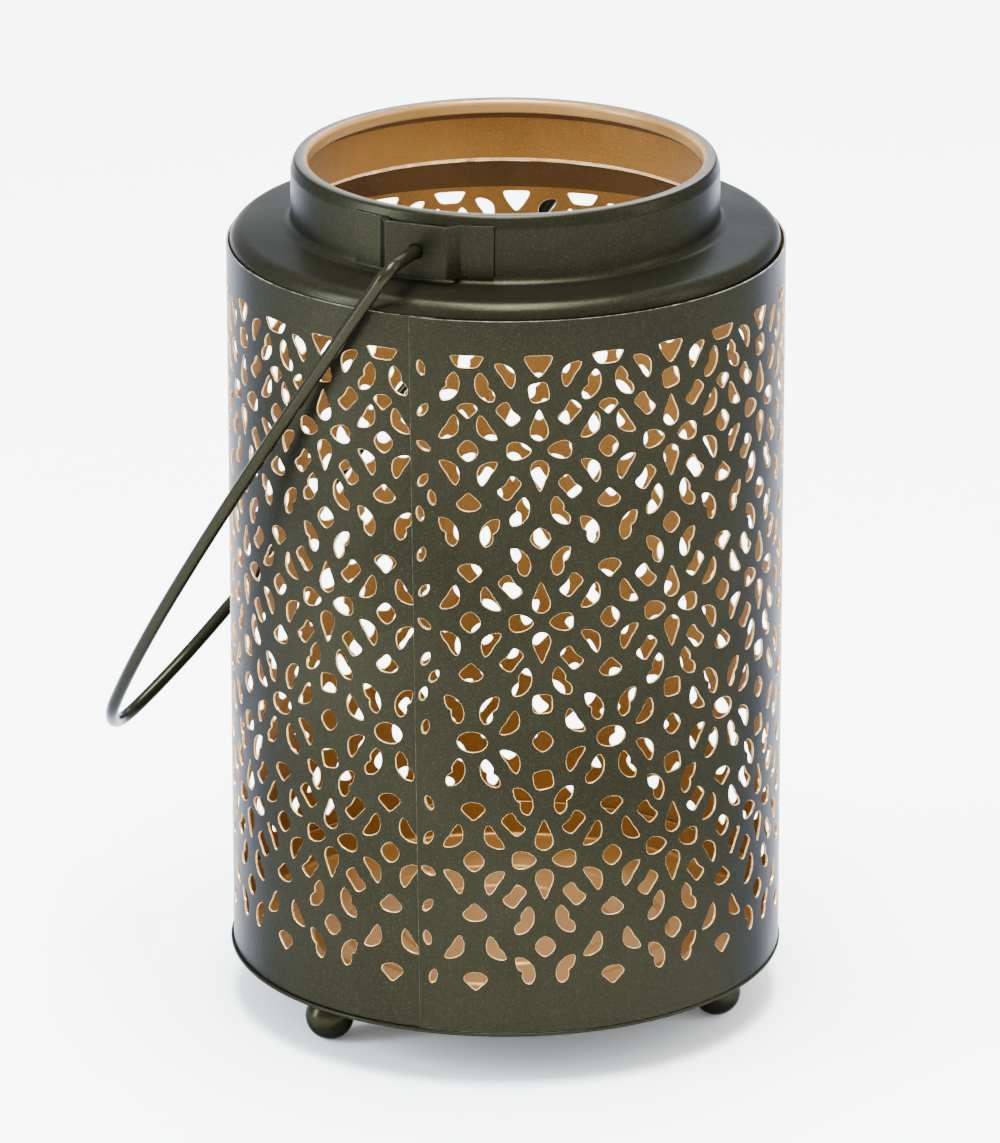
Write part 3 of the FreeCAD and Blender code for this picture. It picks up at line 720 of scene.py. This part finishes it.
def base_pan():
    """Pressed pan: lip under the tube, flange inside it, and a raised middle with two rings."""
    seat = PAN_BOTTOM + 1.8
    low_floor = PAN_BOTTOM + PAN_WALL
    groove = 0.4
    profile = [
        (0.0, seat - PAN_WALL, 0.0),
        (SEAT_RADIUS, seat - PAN_WALL, 0.0),
        (SEAT_RADIUS + 1.6, PAN_BOTTOM, 0.4),
        (PAN_RADIUS, PAN_BOTTOM, 0.3),
        (PAN_RADIUS, PAN_BOTTOM + 0.8, 0.3),
        (PAN_FLANGE_RADIUS, PAN_BOTTOM + 0.8, 0.0),
        (PAN_FLANGE_RADIUS, PAN_TOP, 0.2),
        (PAN_FLANGE_RADIUS - PAN_WALL, PAN_TOP, 0.2),
        (PAN_FLANGE_RADIUS - PAN_WALL, low_floor, 0.8),
        (SEAT_RADIUS + 2.2, low_floor, 0.4),
        (SEAT_RADIUS + 0.6, seat, 0.5),
    ]
    for ring_radius in (33.0, 22.0):
        profile += [
            (ring_radius, seat, 0.2),
            (ring_radius - 0.7, seat - groove, 0.2),
            (ring_radius - 1.4, seat, 0.2),
        ]
    profile.append((0.0, seat, 0.0))
    zones = [0] * 6 + [1] * (len(profile) - 6)
    piece = lathe("pressed_pan", profile, zones, [OLIVE, GOLD])
    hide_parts("base_pan")
    return piece


def ball_foot(number, node):
    """A steel ball with the weld bead that holds it under the pan."""
    azimuth = math.radians(FIRST_FOOT_AZIMUTH + 120.0 * number)
    centre = (FOOT_CIRCLE * math.sin(azimuth), -FOOT_CIRCLE * math.cos(azimuth))
    weld_radius = 2.3
    steps = 18
    profile = []
    for k in range(steps):
        around = math.pi * k / steps
        r = BALL_RADIUS * math.sin(around)
        if k > steps / 2 and r < weld_radius:
            break
        profile.append((r, BALL_RADIUS * (1.0 - math.cos(around)), 0.0))
    profile += [
        (weld_radius - 0.3, PAN_BOTTOM - 0.9, 0.3),
        (weld_radius + 0.4, PAN_BOTTOM, 0.0),
        (0.0, PAN_BOTTOM, 0.0),
    ]
    piece = lathe(node + "_ball", profile, [0] * len(profile), [OLIVE_WIRE],
                  segments=48, centre=centre)
    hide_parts(node)
    return piece


# ------------------------------------------------------------------ handle and brackets
LEG = [(22.0, 55.6), (50.0, 52.2), (77.0, 46.4), (104.0, 37.4), (126.0, 26.2), (140.0, 15.2)]


def curve_through(points, steps):
    """Open Catmull-Rom curve through points in a plane."""
    known = np.array(points, float)
    known = np.concatenate([[2 * known[0] - known[1]], known, [2 * known[-1] - known[-2]]])
    path = []
    for before, start, end, beyond in zip(known, known[1:], known[2:], known[3:]):
        for k in range(steps):
            t = k / steps
            path.append(0.5 * (2 * start + (end - before) * t
                               + (2 * before - 5 * start + 4 * end - beyond) * t ** 2
                               + (3 * start - before - 3 * end + beyond) * t ** 3))
    path.append(known[-2])
    return path


def bail_handle():
    """One bent wire with a flattened end behind each bracket plate."""
    legs = [(STUB_BEND, -LEG_SPREAD)] + [(along, -across) for along, across in LEG]
    legs += [(BAIL_REACH, 0.0)] + [(along, -across) for along, across in reversed(legs)]
    loop = [tuple(point) for point in curve_through(legs, 10)]
    end = [(0.0, -HEAD_INNER), (0.0, -HEAD_OUTER), (0.0, -HEAD_OUTER - 0.1), (0.0, -STUB_END)]
    for k in range(8):
        around = math.pi / 2 * k / 8
        end.append((STUB_BEND * (1 - math.cos(around)), -LEG_SPREAD + STUB_BEND * (1 - math.sin(around))))
    plane = end + loop + [(along, -across) for along, across in reversed(end)]
    droop = math.radians(HANG_ANGLE)
    path = []
    for along, across in plane:
        path.append((-along * math.cos(droop), across, PIVOT_Z - along * math.sin(droop)))
    radii = [WIRE_RADIUS] * len(path)
    for k in (0, 1, -1, -2):
        radii[k] = HEAD_RADIUS
    piece = swept_tube("bail_wire", path, radii, "handle", [OLIVE_WIRE], sides=28)
    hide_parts("handle")
    return piece


def finish_bracket(node):
    """The strap keeps its shape from the frame; its cut edges are softened and it is painted, with a
    painted highlight on the softened edges.
    """
    strap = frame["nodes"][node]
    strap.data.materials.clear()
    strap.data.materials.append(OLIVE)
    strap.data.materials.append(EDGE_HIGHLIGHT)
    joined = strap.modifiers.new("joined corners", "WELD")
    joined.merge_threshold = 0.002 * MM
    softened = strap.modifiers.new("softened edges", "BEVEL")
    softened.width = 0.2 * MM
    softened.segments = 2
    # Bevel faces take the second slot, the pale paint that is a painted highlight along the strap's
    # corners.
    softened.material = 1
    softened.limit_method = "ANGLE"
    softened.angle_limit = math.radians(35)
    shading = strap.modifiers.new("even shading", "WEIGHTED_NORMAL")
    shading.weight = 100


perforated_shell()
top_cap()
base_pan()
for foot_number, foot_node in enumerate(("foot_left", "foot_right", "foot_back")):
    ball_foot(foot_number, foot_node)
bail_handle()
for bracket_node in ("front_bracket", "rear_bracket"):
    finish_bracket(bracket_node)


# ------------------------------------------------------------------ stage, light and camera
VIEW_AZIMUTH = 22.6
VIEW_ELEVATION = 19.333
VIEW_DISTANCE = 1.6414
VIEW_HEIGHT = 0.08791
LENS = 260.98
SHIFT_X = -0.00468
SENSOR_WIDTH = 36.0
LIGHT_AIM_HEIGHT = 0.09
WORLD_STRENGTH = 2.8


def make_camera():
    data = bpy.data.cameras.new("camera")
    data.lens = LENS
    data.sensor_width = SENSOR_WIDTH
    data.shift_x = SHIFT_X
    data.clip_start = 0.1
    data.clip_end = 50.0
    camera = bpy.data.objects.new("camera", data)
    bpy.context.scene.collection.objects.link(camera)
    azimuth, elevation = math.radians(VIEW_AZIMUTH), math.radians(VIEW_ELEVATION)
    back = Vector((math.sin(azimuth) * math.cos(elevation), -math.cos(azimuth) * math.cos(elevation),
                   math.sin(elevation)))
    camera.location = Vector((0.0, 0.0, VIEW_HEIGHT)) + back * VIEW_DISTANCE
    camera.rotation_euler = (-back).to_track_quat("-Z", "Y").to_euler()
    bpy.context.scene.camera = camera


def make_stage():
    mesh = bpy.data.meshes.new("floor")
    half = 6.0
    corners = [(-half, -half, 0), (half, -half, 0), (half, half, 0), (-half, half, 0)]
    mesh.from_pydata(corners, [], [(0, 1, 2, 3)])
    floor = bpy.data.objects.new("floor", mesh)
    bpy.context.scene.collection.objects.link(floor)
    n = Nodes("pale_floor")
    colour = n.ramp(n.noise(3.0), (0.3, (0.90, 0.90, 0.90)), (0.7, (0.93, 0.93, 0.93)))
    mesh.materials.append(n.set(Base_Color=colour, Roughness=0.8))


def make_light(name, azimuth, elevation, distance, width, height, power, colour):
    """A soft box that faces the object, placed by the direction it stands in."""
    data = bpy.data.lights.new(name, "AREA")
    data.shape = "RECTANGLE"
    data.size = width
    data.size_y = height
    data.energy = power
    data.color = colour
    light = bpy.data.objects.new(name, data)
    bpy.context.scene.collection.objects.link(light)
    a, e = math.radians(azimuth), math.radians(elevation)
    out = Vector((math.sin(a) * math.cos(e), -math.cos(a) * math.cos(e), math.sin(e)))
    light.location = Vector((0, 0, LIGHT_AIM_HEIGHT)) + out * distance
    light.rotation_euler = (-out).to_track_quat("-Z", "Y").to_euler()


def make_world():
    world = bpy.data.worlds.new("studio")
    bpy.context.scene.world = world
    world.use_nodes = True
    background = world.node_tree.nodes["Background"]
    background.inputs["Color"].default_value = (1.0, 1.0, 1.0, 1.0)
    background.inputs["Strength"].default_value = WORLD_STRENGTH


make_camera()
make_stage()
make_world()
make_light("key", VIEW_AZIMUTH - 72.0, 14.0, 1.3, 0.30, 1.0, 52.0, (0.74, 0.86, 1.0))
make_light("fill", VIEW_AZIMUTH + 80.0, 25.0, 1.6, 0.4, 1.0, 12.0, (0.84, 0.92, 1.0))
make_light("top", VIEW_AZIMUTH + 4.0, 84.0, 1.4, 0.6, 1.1, 150.0, (0.93, 0.97, 1.0))
make_light("back", VIEW_AZIMUTH + 165.0, 36.0, 1.8, 1.0, 0.5, 24.0, (0.93, 0.97, 1.0))
